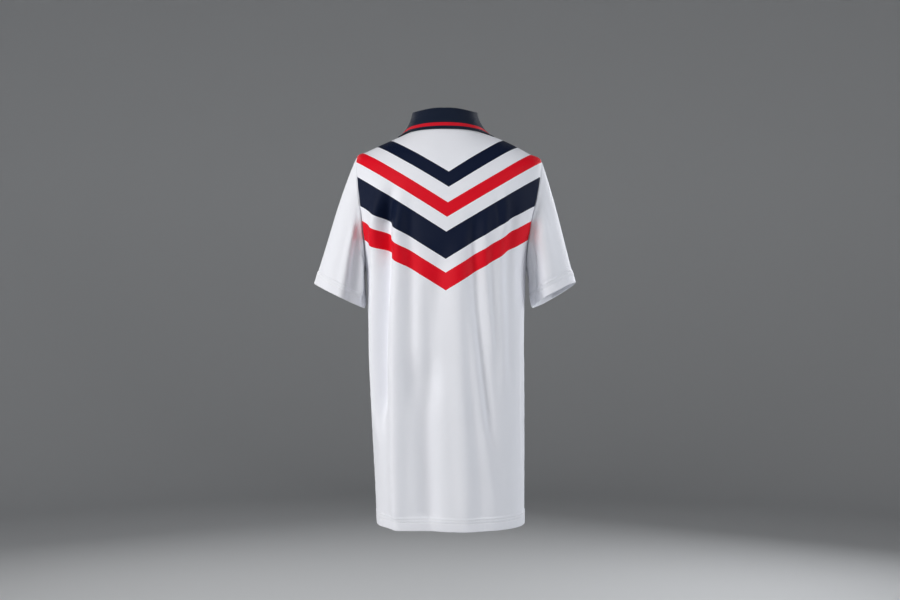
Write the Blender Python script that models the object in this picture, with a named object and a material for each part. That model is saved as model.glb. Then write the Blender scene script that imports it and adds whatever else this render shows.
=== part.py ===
"""A short-sleeved cricket jersey in its worn form: back, front, two sleeves and a fold-down collar.

Metres, +Z up. The wearer faces -Y, so the wearer's left side is at +X. The origin is in the middle of
the neck, at the height where the cloth lies on the shoulders.

Both body panels are rows of points from the neckline to the hem. A row's level says how far down it is:
0 neckline, 1 shoulder point, 2 armpit, 3 hem. A column's share runs across the panel, from 0 at the
wearer's left seam to 1 at the right one.
"""

import collections
import math

import bmesh
import bpy
import numpy as np

CLOTH_WALL = 0.0016
RIB_WALL = 0.0020
SEAM_GAP = 0.0003

NECK_ROWS = 5
ARM_ROWS = 12
SIDE_ROWS = 8
COLUMNS = 36
SLEEVE_ROWS = 11
ROW_SAMPLES = 160

SHOULDER_LEVEL = 1.0
ARMPIT_LEVEL = 2.0
HEM_LEVEL = 3.0
# The V neckline's slant fades out at this level, and its sides bow back by this power towards the neck.
NECKLINE_SLOPE_ENDS = 0.8
NECKLINE_BOW = 0.57

# Body sections. Half widths run along X about the centre, depths along Y; each row's height is given at
# its sides, at the middle of the back and at the middle of the front, and tilt is how far its left side
# lies above, and its right side below, that height. Square is the exponent of the rounded section: 2 is
# an ellipse, more is boxier.
Section = collections.namedtuple("Section", "level centre half back front side_z back_z front_z tilt square")
SECTIONS = (
    Section(0.00, 0.006, 0.064, 0.064, 0.084, 0.000, 0.011, -0.118, 0.000, 2.0),
    Section(0.50, 0.001, 0.124, 0.092, 0.097, -0.023, -0.040, -0.150, 0.000, 2.1),
    Section(0.80, -0.001, 0.158, 0.102, 0.103, -0.040, -0.072, -0.169, 0.002, 2.2),
    Section(1.00, -0.002, 0.179, 0.108, 0.106, -0.050, -0.095, -0.182, 0.003, 2.2),
    Section(1.33, 0.000, 0.184, 0.117, 0.112, -0.110, -0.145, -0.208, 0.001, 2.3),
    Section(1.67, 0.003, 0.172, 0.121, 0.117, -0.183, -0.203, -0.240, 0.000, 2.3),
    Section(2.00, 0.004, 0.155, 0.121, 0.118, -0.262, -0.265, -0.278, 0.000, 2.3),
    Section(2.33, 0.003, 0.151, 0.119, 0.117, -0.420, -0.422, -0.430, 0.000, 2.3),
    Section(2.67, -0.001, 0.147, 0.116, 0.115, -0.590, -0.592, -0.594, 0.000, 2.3),
    Section(3.00, -0.005, 0.143, 0.113, 0.113, -0.757, -0.758, -0.755, 0.000, 2.3),
)
# How late a row falls from its side to its middle, and how far the armhole cuts into each end of a row.
ROW_FALL = 1.8
ARMHOLE_TURN = {"back": math.radians(24), "front": math.radians(25)}
ARMHOLE_ROUNDNESS = 0.5

# Cuffs: the middle of each opening, its outward tilt, its half length from the arm's inner to its outer
# side, its depth radius, how far its back edge is raised and its front edge lowered, and the slopes,
# outward over down, at which the cloth leaves the armhole's top and armpit and reaches the cuff.
Cuff = collections.namedtuple("Cuff", "side x y z tilt half depth rise top_slope armpit_slope end_slope")
CUFFS = (
    Cuff(1, 0.2105, 0.000, -0.3175, math.radians(26), 0.054, 0.063, 0.000, 0.46, 0.35, 0.32),
    Cuff(-1, -0.2070, -0.018, -0.3160, math.radians(29), 0.048, 0.066, 0.008, 0.36, 0.35, 0.30),
)

# Largest folds of the body, as soft ridges (height above 0) and troughs (below 0): the heights above the
# origin between which each runs, its share across the panel at both ends, and the half width, also in
# shares, of its rounded profile. A fold whose end lies below the hem runs out through it.
Fold = collections.namedtuple("Fold", "start end share_start share_end width height")
BODY_FOLDS = {
    "back": (
        Fold(-0.190, -0.950, 0.215, 0.240, 0.040, 0.006),
        Fold(-0.190, -0.950, 0.305, 0.285, 0.032, -0.007),
        Fold(-0.190, -0.530, 0.355, 0.370, 0.030, 0.003),
        Fold(-0.200, -0.680, 0.490, 0.500, 0.050, 0.005),
        Fold(-0.240, -0.950, 0.585, 0.640, 0.030, -0.005),
        Fold(-0.150, -0.700, 0.575, 0.745, 0.030, -0.007),
        Fold(-0.220, -0.950, 0.870, 0.870, 0.040, 0.003),
    ),
    "front": (
        Fold(-0.190, -0.720, 0.170, 0.200, 0.035, -0.006),
        Fold(-0.200, -0.950, 0.270, 0.240, 0.045, 0.006),
        Fold(-0.210, -0.950, 0.385, 0.340, 0.032, -0.006),
        Fold(-0.200, -0.700, 0.520, 0.500, 0.050, 0.005),
        Fold(-0.220, -0.950, 0.610, 0.670, 0.032, -0.007),
        Fold(-0.190, -0.900, 0.740, 0.775, 0.045, 0.005),
        Fold(-0.190, -0.600, 0.850, 0.820, 0.032, -0.005),
    ),
}
# Largest folds of the sleeves: the same, but running from 0 at the armhole to 1 at the cuff, with shares
# round the arm: 0 armpit, 0.25 back, 0.5 top, 0.75 front.
SLEEVE_FOLDS = {
    1: (
        Fold(0.12, 1.20, 0.245, 0.210, 0.040, 0.005),
        Fold(0.10, 1.20, 0.160, 0.145, 0.040, -0.006),
        Fold(0.35, 1.20, 0.800, 0.830, 0.060, -0.005),
    ),
    -1: (
        Fold(0.06, 1.20, 0.200, 0.085, 0.040, -0.006),
        Fold(0.10, 1.20, 0.255, 0.205, 0.050, 0.005),
        Fold(0.40, 1.20, 0.820, 0.800, 0.060, -0.005),
    ),
}
# Share of a fold's length over which it rises and dies away, and share of a panel's width at each seam
# over which its folds flatten.
FOLD_FADE = 0.3
SEAM_FADE = 0.07
# Share of the way round the sleeve over which its underside stands off the body by a seam gap.
ARMPIT_SPREAD = 0.12

# Collar sections, from the middle of the back (place 0) by the neck point (0.5) to the point of the V
# (1): height of the stand, how far the leaf reaches down the panel in levels, how fast it drops onto the
# panel, how far it is swept sideways in shares of the panel, and how much of the stand's direction is the
# panel's own slope.
Collar = collections.namedtuple("Collar", "place stand reach drop sweep slope")
COLLAR = (
    Collar(0.00, 0.0255, 0.125, 1.5, 0.000, 0.10),
    Collar(0.25, 0.0285, 0.130, 1.5, 0.000, 0.10),
    Collar(0.42, 0.0340, 0.155, 1.5, 0.000, 0.07),
    Collar(0.50, 0.0370, 0.230, 1.8, 0.000, 0.05),
    Collar(0.60, 0.0335, 0.350, 1.8, 0.004, 0.15),
    Collar(0.75, 0.0240, 0.380, 1.6, 0.012, 0.40),
    Collar(1.00, 0.0050, 0.740, 1.5, 0.075, 1.00),
)
# The stand leans in by this share of its height, folds over with this radius, and the leaf hangs from
# the fold to rest just above the panel: its reach starts slowly.
STAND_LEAN = 0.12
FOLD_RADIUS = 0.0022
LEAF_REST = 0.0010
LEAF_EASE = 1.4
# Share of the front's neckline by which each end of the collar stops short of the middle.
COLLAR_END_SHARE = 0.002
STAND_STEPS = 3
FOLD_STEPS = 4
LEAF_STEPS = 6

WHITE_CLOTH = (0.86, 0.87, 0.92, 1.0)
NAVY_RIB = (0.004, 0.012, 0.040, 1.0)
CLOTH_ROUGHNESS = 0.75
RIB_ROUGHNESS = 0.85
# Edges that turn by more than this, such as a wall's rim, are shaded sharp.
SHARP_TURN = math.radians(50)


def unit(vectors):
    return vectors / np.linalg.norm(vectors, axis=-1, keepdims=True)


def smooth_step(values):
    clipped = np.clip(values, 0.0, 1.0)
    return clipped * clipped * (3.0 - 2.0 * clipped)


def smooth_through(knots, values, at):
    """A smooth curve through the knots: cubic, with each slope taken from the neighbouring knots."""
    knots = np.asarray(knots)
    values = np.asarray(values)
    slopes = np.gradient(values, knots)
    left = np.clip(np.searchsorted(knots, at, side="right") - 1, 0, len(knots) - 2)
    step = knots[left + 1] - knots[left]
    u = (at - knots[left]) / step
    start = (1 + 2 * u) * (1 - u) ** 2 * values[left] + u * (1 - u) ** 2 * step * slopes[left]
    end = u * u * (3 - 2 * u) * values[left + 1] + u * u * (u - 1) * step * slopes[left + 1]
    return start + end


def read_table(table, column, at):
    rows = [row[0] for row in table]
    return smooth_through(rows, [getattr(row, column) for row in table], at)


def armhole_turn(side, level):
    """Angle that the armhole takes off each end of a row."""
    if not SHOULDER_LEVEL < level < ARMPIT_LEVEL:
        return 0.0
    depth = math.sin(math.pi * (level - SHOULDER_LEVEL) / (ARMPIT_LEVEL - SHOULDER_LEVEL))
    return ARMHOLE_TURN[side] * depth**ARMHOLE_ROUNDNESS


def section_points(side, level, turn):
    """Points of a body section at angles from the wearer's left (0) to the right (pi)."""
    centre, half, depth, side_z, middle_z, tilt, square = (
        read_table(SECTIONS, column, level)
        for column in ("centre", "half", side, "side_z", side + "_z", "tilt", "square")
    )
    across = np.cos(turn)
    away = np.clip(np.sin(turn), 0.0, 1.0)
    x_share = np.sign(across) * np.abs(across) ** (2 / square)
    fall = away**ROW_FALL
    bow = away ** (2 / square)
    if side == "front":
        neckline = 1.0 - smooth_step(level / NECKLINE_SLOPE_ENDS)
        fall = fall + neckline * (1.0 - np.abs(x_share) - fall)
        bow = bow / (1.0 + np.abs(x_share)) ** (NECKLINE_BOW * neckline)
    y = depth * bow * (1 if side == "back" else -1)
    z = side_z + (middle_z - side_z) * fall + tilt * x_share
    return np.stack([centre + half * x_share, y, z], axis=-1)


def panel_points(side, level, shares):
    """Points of one row of a body panel at shares of its length."""
    cut = armhole_turn(side, level)
    turns = np.linspace(cut, math.pi - cut, ROW_SAMPLES)
    steps = np.linalg.norm(np.diff(section_points(side, level, turns), axis=0), axis=1)
    lengths = np.concatenate([[0.0], np.cumsum(steps)])
    return section_points(side, level, np.interp(np.asarray(shares) * lengths[-1], lengths, turns))


def panel_levels():
    above = np.linspace(0.0, SHOULDER_LEVEL, NECK_ROWS + 1)
    beside = np.linspace(SHOULDER_LEVEL, ARMPIT_LEVEL, ARM_ROWS + 1)[1:]
    below = np.linspace(ARMPIT_LEVEL, HEM_LEVEL, SIDE_ROWS + 1)[1:]
    return np.concatenate([above, beside, below])


def armhole_loop(back, front, column):
    """The armhole's edge, from the armpit up the back to the shoulder point and down the front."""
    rows = slice(NECK_ROWS, NECK_ROWS + ARM_ROWS + 1)
    up = back[rows, column][::-1]
    down = front[rows, column]
    return np.concatenate([up, down[1:-1]])


def loop_shares(loop):
    """Share of each point round the arm: 0 armpit, 0.25 back, 0.5 shoulder, 0.75 front."""
    steps = np.linalg.norm(np.roll(loop, -1, axis=0) - loop, axis=1)
    back_lengths = np.concatenate([[0.0], np.cumsum(steps[:ARM_ROWS])])
    front_lengths = np.concatenate([[0.0], np.cumsum(steps[ARM_ROWS:])])
    back_shares = 0.5 * back_lengths / back_lengths[-1]
    front_shares = 0.5 + 0.5 * front_lengths / front_lengths[-1]
    return np.concatenate([back_shares, front_shares[1:-1]])


def sleeve_points(cuff, loop, rows):
    """A sleeve's rings: each column runs on a cubic curve from the armhole to the cuff."""
    shares = loop_shares(loop)
    turn = 2 * math.pi * shares
    outward = np.array([cuff.side * math.cos(cuff.tilt), 0.0, math.sin(cuff.tilt)])
    centre = np.array([cuff.x, cuff.y, cuff.z])
    end = centre - np.cos(turn)[:, None] * cuff.half * outward
    end += np.sin(turn)[:, None] * np.array([0.0, cuff.depth, cuff.rise])
    top = unit(np.array([cuff.side * cuff.top_slope, 0.0, -1.0]))
    armpit = unit(np.array([cuff.side * cuff.armpit_slope, 0.0, -1.0]))
    upper = (0.5 - 0.5 * np.cos(turn))[:, None]
    reach = np.linalg.norm(end - loop, axis=1)[:, None]
    leave = reach * unit(top * upper + armpit * (1 - upper))
    arrive = reach * unit(np.array([cuff.side * cuff.end_slope, 0.0, -1.0]))
    v = np.linspace(0.0, 1.0, rows + 1)[:, None, None]
    start = (1 + 2 * v) * (1 - v) ** 2 * loop + v * (1 - v) ** 2 * leave
    return start + v * v * (3 - 2 * v) * end + v * v * (v - 1) * arrive


def outward_normals(points, facing, ring):
    """Normals of a grid of points; a ring's last column joins its first."""
    if ring:
        across = np.roll(points, -1, axis=1) - np.roll(points, 1, axis=1)
    else:
        across = np.gradient(points, axis=1)
    return unit(facing * np.cross(across, np.gradient(points, axis=0)))


def joined_normals(skins):
    """Normals shared at the seams, wherever the cloth runs smoothly from one piece to the next."""
    own = {name: outward_normals(skin.points, skin.facing, skin.ring) for name, skin in skins.items()}
    meeting = collections.defaultdict(list)
    for name, skin in skins.items():
        for place, normal in zip(skin.points.reshape(-1, 3), own[name].reshape(-1, 3)):
            meeting[tuple(np.round(place, 6))].append(normal)
    joined = {}
    for name, skin in skins.items():
        flat = []
        for place, normal in zip(skin.points.reshape(-1, 3), own[name].reshape(-1, 3)):
            others = np.array(meeting[tuple(np.round(place, 6))])
            agreement = np.clip(2 * others @ normal, 0.0, 1.0)
            flat.append((others * agreement[:, None]).sum(axis=0))
        joined[name] = unit(np.array(flat)).reshape(own[name].shape)
    return joined


def fold_heights(folds, down, shares, ring):
    """Height of all folds at each point of a grid, where down is the measure that the folds run along."""
    total = np.zeros(down.shape)
    for fold in folds:
        along = np.clip((down - fold.start) / (fold.end - fold.start), 0.0, 1.0)
        strength = smooth_step(along / FOLD_FADE) * smooth_step((1 - along) / FOLD_FADE)
        offset = shares - (fold.share_start + (fold.share_end - fold.share_start) * along)
        if ring:
            offset = (offset + 0.5) % 1.0 - 0.5
        total += fold.height * strength * np.exp(-((offset / fold.width) ** 2))
    return total


Skin = collections.namedtuple("Skin", "points facing ring")


def smooth_skins():
    """The jersey's outer face without folds, one grid of points for each piece."""
    shares = np.linspace(0.0, 1.0, COLUMNS + 1)
    grids = {
        side: np.array([panel_points(side, level, shares) for level in panel_levels()])
        for side in ("back", "front")
    }
    skins = {"back": Skin(grids["back"], -1, False), "front": Skin(grids["front"], 1, False)}
    for cuff in CUFFS:
        loop = armhole_loop(grids["back"], grids["front"], 0 if cuff.side > 0 else -1)
        skins[sleeve_name(cuff)] = Skin(sleeve_points(cuff, loop, SLEEVE_ROWS), cuff.side, True)
    return skins


def sleeve_name(cuff):
    return "sleeve_left" if cuff.side > 0 else "sleeve_right"


def folded_skins(skins):
    """The same grids with the large folds raised from them."""
    normals = joined_normals(skins)
    shares = np.linspace(0.0, 1.0, COLUMNS + 1)
    seam_fade = smooth_step(np.minimum(shares, 1 - shares) / SEAM_FADE)
    folded = {}
    for side in ("back", "front"):
        heights = fold_heights(BODY_FOLDS[side], skins[side].points[..., 2], shares, False) * seam_fade
        folded[side] = skins[side]._replace(points=skins[side].points + heights[..., None] * normals[side])
    for cuff in CUFFS:
        name = sleeve_name(cuff)
        skin = skins[name]
        around = loop_shares(skin.points[0])
        down = np.linspace(0.0, 1.0, SLEEVE_ROWS + 1)[:, None] + 0 * around
        heights = fold_heights(SLEEVE_FOLDS[cuff.side], down, around, True)
        folded[name] = skin._replace(points=skin.points + heights[..., None] * normals[name])
    return folded


def seam_retreat(border, normals, facing, ring):
    """Half a seam gap into the piece, square to the border's segments on both sides of each point."""
    if ring:
        border = np.concatenate([border, border[:1]])
        normals = np.concatenate([normals, normals[:1]])
    along = unit(border[1:] - border[:-1])
    square = unit(facing * np.cross(unit(normals[1:] + normals[:-1]), along))
    if ring:
        before = np.roll(square, 1, axis=0)
        after = square
    else:
        before = np.concatenate([square[:1], square])
        after = np.concatenate([square, square[-1:]])
    turn = (before * after).sum(axis=1, keepdims=True)
    return SEAM_GAP / 2 * (before + after) / (1 + turn)


def wall_faces(skin, normals):
    """Outer and inner points of a piece, parted from its neighbours by the seam gap."""
    outer = skin.points.copy()
    if skin.ring:
        around = (loop_shares(skin.points[0]) + 0.5) % 1.0 - 0.5
        outer[0] += seam_retreat(skin.points[0], normals[0], skin.facing, True)
        outer[..., 0] += skin.facing * SEAM_GAP * np.exp(-((around / ARMPIT_SPREAD) ** 2))
    else:
        outer[:, 0] += seam_retreat(skin.points[:, 0], normals[:, 0], -skin.facing, False)
        outer[:, -1] += seam_retreat(skin.points[:, -1], normals[:, -1], skin.facing, False)
    return outer, outer - CLOTH_WALL * normals


def collar_stations():
    """Panel, share and place of each station, from the V's left side round the neck to its right side."""
    half = COLUMNS // 2
    shares = np.linspace(0.0, 1.0, COLUMNS + 1)
    first = shares[half::-1].copy()
    first[0] -= COLLAR_END_SHARE
    last = shares[: half - 1 : -1].copy()
    last[-1] += COLLAR_END_SHARE
    stations = [("front", share, 0.5 + share) for share in first]
    stations += [("back", share, abs(2 * share - 1) / 2) for share in shares[1:-1]]
    stations += [("front", share, 1.5 - share) for share in last]
    return stations


def panel_frame(side, level, share):
    """A panel's point, its outward normal, its direction down the column and that along the row."""
    small = 1e-3
    here = panel_points(side, level, [share - small, share, share + small])
    below = panel_points(side, level + small, [share])[0]
    down = unit(below - here[1])
    along = unit(here[2] - here[0])
    facing = -1 if side == "back" else 1
    return here[1], unit(facing * np.cross(along, down)), down, along


def collar_profile(side, share, place):
    """The collar's middle line at one station: up the stand, over the fold and down the leaf."""
    stand, reach, drop, sweep, slope = (
        read_table(COLLAR, column, place) for column in ("stand", "reach", "drop", "sweep", "slope")
    )
    neckline, normal, down, along = panel_frame(side, 0.0, share)
    lean = -STAND_LEAN / SECTIONS[0].half * neckline * np.array([1.0, 1.0, 0.0])
    middle_down = panel_frame("front", 0.0, 0.5)[2]
    up = unit((1 - slope) * (np.array([0.0, 0.0, 1.0]) + lean) - slope * middle_down)
    over = unit(normal - (normal @ up) * up)
    through_wall = unit(np.cross(along, up))
    past_edge = unit(np.cross(along, normal))
    clear = SEAM_GAP + RIB_WALL / 2 * abs(through_wall @ past_edge)
    clear /= np.linalg.norm(np.cross(down, along))
    base = neckline - normal * CLOTH_WALL / 2 - down * clear
    line = [base + up * stand * step / STAND_STEPS for step in range(STAND_STEPS + 1)]
    top = line[-1]
    for step in range(1, FOLD_STEPS + 1):
        turn = math.pi * step / FOLD_STEPS
        line.append(top + FOLD_RADIUS * (math.sin(turn) * up + (1 - math.cos(turn)) * over))
    rest = LEAF_REST + RIB_WALL / 2
    rise = line[-1] - neckline - normal * rest
    sideways = -sweep if share < 0.5 else sweep
    for step in range(1, LEAF_STEPS + 1):
        w = step / LEAF_STEPS
        eased = w**LEAF_EASE
        point, outward, *_ = panel_frame(side, reach * eased, share + sideways * eased)
        line.append(point + outward * rest + (1 - w) ** drop * rise)
    return line


def collar_faces():
    """Both faces of the collar, half its wall to either side of its middle surface."""
    middle = np.array([collar_profile(*station) for station in collar_stations()])
    normals = outward_normals(middle, 1, False)
    return middle + normals * RIB_WALL / 2, middle - normals * RIB_WALL / 2


def material(name, colour, roughness):
    made = bpy.data.materials.new(name)
    made.use_nodes = True
    shader = made.node_tree.nodes["Principled BSDF"]
    shader.inputs["Base Color"].default_value = colour
    shader.inputs["Roughness"].default_value = roughness
    shader.inputs["Metallic"].default_value = 0.0
    return made


def add_strips(mesh, rows, ring):
    """Quads between neighbouring rows of vertices."""
    for upper, lower in zip(rows, rows[1:]):
        count = len(upper)
        for here in range(count if ring else count - 1):
            there = (here + 1) % count
            mesh.faces.new((upper[here], upper[there], lower[there], lower[here]))


def wall_object(name, outer, inner, ring, finish):
    """A closed wall between two grids of points."""
    mesh = bmesh.new()
    rows_out = [[mesh.verts.new(point) for point in row] for row in outer]
    rows_in = [[mesh.verts.new(point) for point in row] for row in inner]
    add_strips(mesh, rows_out, ring)
    add_strips(mesh, rows_in, ring)
    add_strips(mesh, [rows_out[0], rows_in[0]], ring)
    add_strips(mesh, [rows_out[-1], rows_in[-1]], ring)
    if not ring:
        for edge in (0, -1):
            add_strips(mesh, [[row[edge] for row in rows_out], [row[edge] for row in rows_in]], False)
    bmesh.ops.recalc_face_normals(mesh, faces=mesh.faces)
    data = bpy.data.meshes.new(name)
    mesh.to_mesh(data)
    mesh.free()
    data.shade_smooth()
    data.set_sharp_from_angle(angle=SHARP_TURN)
    data.materials.append(finish)
    made = bpy.data.objects.new(name, data)
    bpy.context.scene.collection.objects.link(made)
    return made


def build():
    for old in list(bpy.data.objects):
        bpy.data.objects.remove(old, do_unlink=True)
    skins = folded_skins(smooth_skins())
    normals = joined_normals(skins)
    for name, skin in skins.items():
        outer, inner = wall_faces(skin, normals[name])
        wall_object(name, outer, inner, skin.ring, material(name + "_cloth", WHITE_CLOTH, CLOTH_ROUGHNESS))
    outer, inner = collar_faces()
    wall_object("collar", outer, inner, False, material("collar_rib", NAVY_RIB, RIB_ROUGHNESS))


build()
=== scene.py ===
"""Looks of a short-sleeved cricket jersey in its worn form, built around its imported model.

Metres, +Z up. The wearer faces -Y, so the wearer's left side is at +X, and the camera looks at the back.
The origin is in the middle of the neck, where the cloth lies on the shoulders.

Every piece of cloth is a thin closed shell on the form of its solid: the same sections and large folds in
finer steps, with smaller creases, turned hems, sewn seams and stitches added.
"""

import collections
import itertools
import math

import bpy
import numpy as np
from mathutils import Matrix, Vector


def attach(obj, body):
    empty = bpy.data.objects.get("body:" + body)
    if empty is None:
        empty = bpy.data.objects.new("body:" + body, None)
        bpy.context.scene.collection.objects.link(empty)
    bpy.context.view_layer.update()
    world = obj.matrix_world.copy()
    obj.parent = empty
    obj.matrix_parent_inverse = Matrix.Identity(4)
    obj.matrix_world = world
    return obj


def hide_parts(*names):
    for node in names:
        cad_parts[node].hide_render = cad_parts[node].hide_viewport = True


# Rows and columns of the panels and sleeves. A row's level is 0 at the neckline, 1 at the shoulder point,
# 2 at the armpit and 3 at the hem. A column's share runs from 0 at the wearer's left seam to 1 at the right.
NECK_ROWS = 32
ARM_ROWS = 66
SIDE_ROWS = 106
COLUMNS = 152
SLEEVE_ROWS = 64
ROW_SAMPLES = 400
SLEEVE_SAMPLES = 40
SHOULDER_LEVEL = 1.0
ARMPIT_LEVEL = 2.0
HEM_LEVEL = 3.0

# Thickness of the knit, alone and turned up at the hems, and of the rib.
KNIT = 0.0009
HEM_KNIT = 0.0019
RIB = 0.0018
SEAM_GAP = 0.0002

# Sections of the body from the neckline to the hem: its middle and half width across, its depth behind and in
# front, the heights of its sides and of both panels' middles, how much higher its left side hangs, and how
# square it is.
NECKLINE_SLOPE_ENDS = 0.8
NECKLINE_BOW = 0.57
Section = collections.namedtuple("Section", "level centre half back front side_z back_z front_z tilt square")
SECTIONS = (
    Section(0.00, 0.006, 0.064, 0.064, 0.084, 0.000, 0.011, -0.118, 0.000, 2.0),
    Section(0.50, 0.001, 0.124, 0.092, 0.097, -0.023, -0.040, -0.150, 0.000, 2.1),
    Section(0.80, -0.001, 0.158, 0.102, 0.103, -0.040, -0.072, -0.169, 0.002, 2.2),
    Section(1.00, -0.002, 0.179, 0.108, 0.106, -0.050, -0.095, -0.182, 0.003, 2.2),
    Section(1.33, 0.000, 0.184, 0.117, 0.112, -0.110, -0.145, -0.208, 0.001, 2.3),
    Section(1.67, 0.003, 0.172, 0.121, 0.117, -0.183, -0.203, -0.240, 0.000, 2.3),
    Section(2.00, 0.004, 0.155, 0.121, 0.118, -0.262, -0.265, -0.278, 0.000, 2.3),
    Section(2.33, 0.003, 0.151, 0.119, 0.117, -0.420, -0.422, -0.430, 0.000, 2.3),
    Section(2.67, -0.001, 0.147, 0.116, 0.115, -0.590, -0.592, -0.594, 0.000, 2.3),
    Section(3.00, -0.005, 0.143, 0.113, 0.113, -0.757, -0.758, -0.755, 0.000, 2.3),
)
ROW_FALL = 1.8
ARMHOLE_TURN = {"back": math.radians(24), "front": math.radians(25)}
ARMHOLE_ROUNDNESS = 0.5

# Cuffs: the middle of each, its tilt, half its width, its depth to each side and its rise towards the back,
# and how far the sleeve slopes outwards where it leaves the armhole's top and armpit and where it ends.
Cuff = collections.namedtuple("Cuff", "side x y z tilt half depth rise top_slope armpit_slope end_slope")
CUFFS = (
    Cuff(1, 0.2105, 0.000, -0.3175, math.radians(26), 0.054, 0.063, 0.000, 0.46, 0.35, 0.32),
    Cuff(-1, -0.2070, -0.018, -0.3160, math.radians(29), 0.048, 0.066, 0.008, 0.36, 0.35, 0.30),
)

# Large folds: ridges (height above 0) and troughs (below 0) that run from the start to the end height above
# the origin. Each one's share across the whole row, as if no armhole were cut from it, is given at both ends
# and half way, and its half width is in shares too. On the sleeves start and end are shares of the way from
# the armhole to the cuff.
Fold = collections.namedtuple("Fold", "start end share_start share_middle share_end width height")
BODY_FOLDS = {
    "back": (
        Fold(-0.110, -0.240, 0.225, 0.175, 0.135, 0.020, -0.0035),
        Fold(-0.090, -0.620, 0.250, 0.140, 0.145, 0.034, 0.0085),
        Fold(-0.090, -0.590, 0.294, 0.208, 0.172, 0.032, -0.0195),
        Fold(-0.100, -0.950, 0.326, 0.268, 0.262, 0.038, 0.0135),
        Fold(-0.100, -0.560, 0.355, 0.350, 0.346, 0.028, -0.0042),
        Fold(-0.400, -0.950, 0.398, 0.402, 0.400, 0.060, -0.0135),
        Fold(-0.200, -0.560, 0.485, 0.448, 0.436, 0.042, -0.0060),
        Fold(-0.190, -0.950, 0.552, 0.566, 0.576, 0.040, 0.0066),
        Fold(-0.250, -0.950, 0.570, 0.620, 0.700, 0.024, -0.0018),
        Fold(-0.330, -0.760, 0.604, 0.651, 0.725, 0.022, 0.0022),
        Fold(-0.130, -0.620, 0.602, 0.640, 0.704, 0.024, -0.0062),
        Fold(-0.130, -0.480, 0.645, 0.676, 0.716, 0.018, 0.0034),
        Fold(-0.180, -0.530, 0.690, 0.704, 0.730, 0.014, -0.0010),
        Fold(-0.110, -0.540, 0.715, 0.742, 0.765, 0.024, 0.0030),
        Fold(-0.100, -0.520, 0.755, 0.790, 0.805, 0.026, -0.0050),
    ),
    "front": (
        Fold(-0.150, -0.540, 0.140, 0.155, 0.130, 0.026, 0.0040),
        Fold(-0.130, -0.620, 0.185, 0.205, 0.215, 0.026, -0.0055),
        Fold(-0.190, -0.950, 0.262, 0.268, 0.240, 0.036, 0.0060),
        Fold(-0.190, -0.540, 0.330, 0.318, 0.335, 0.024, -0.0040),
        Fold(-0.260, -0.950, 0.372, 0.390, 0.360, 0.036, 0.0045),
        Fold(-0.230, -0.950, 0.440, 0.425, 0.410, 0.030, -0.0055),
        Fold(-0.250, -0.720, 0.500, 0.505, 0.520, 0.045, 0.0045),
        Fold(-0.230, -0.660, 0.560, 0.585, 0.600, 0.024, -0.0050),
        Fold(-0.220, -0.950, 0.610, 0.632, 0.660, 0.034, 0.0050),
        Fold(-0.170, -0.700, 0.655, 0.690, 0.740, 0.024, -0.0060),
        Fold(-0.200, -0.580, 0.720, 0.745, 0.780, 0.024, 0.0040),
        Fold(-0.150, -0.950, 0.790, 0.800, 0.815, 0.028, -0.0045),
        Fold(-0.300, -0.950, 0.870, 0.865, 0.860, 0.036, 0.0035),
    ),
}
SLEEVE_FOLDS = {
    1: (
        Fold(0.08, 1.30, 0.256, 0.240, 0.222, 0.031, 0.0060),
        Fold(0.05, 1.30, 0.192, 0.182, 0.168, 0.030, -0.0060),
        Fold(0.10, 1.00, 0.122, 0.118, 0.110, 0.018, 0.0082),
        Fold(0.10, 1.00, 0.080, 0.080, 0.075, 0.018, -0.0020),
        Fold(0.35, 1.20, 0.800, 0.815, 0.830, 0.060, -0.0050),
        Fold(0.20, 1.20, 0.720, 0.725, 0.740, 0.035, 0.0035),
    ),
    -1: (
        Fold(0.04, 1.30, 0.195, 0.112, 0.030, 0.018, -0.0045),
        Fold(0.06, 1.30, 0.285, 0.238, 0.180, 0.060, 0.0125),
        Fold(0.05, 0.50, 0.300, 0.312, 0.320, 0.018, -0.0028),
        Fold(0.40, 1.20, 0.820, 0.810, 0.800, 0.060, -0.0050),
        Fold(0.20, 1.20, 0.700, 0.720, 0.735, 0.035, 0.0035),
    ),
}
# Length over which a body fold rises and dies away, the same for a sleeve fold as a share of the way down,
# and the share of a panel's width at each seam over which its folds flatten.
FOLD_FADE = 0.090
SLEEVE_FOLD_FADE = 0.25
SEAM_FADE = 0.07

# Within this share of the arm beside the armpit, the sleeve is moved outwards by this gap to clear the body.
ARMPIT_SPREAD = 0.12
ARMPIT_GAP = 0.0003

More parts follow.
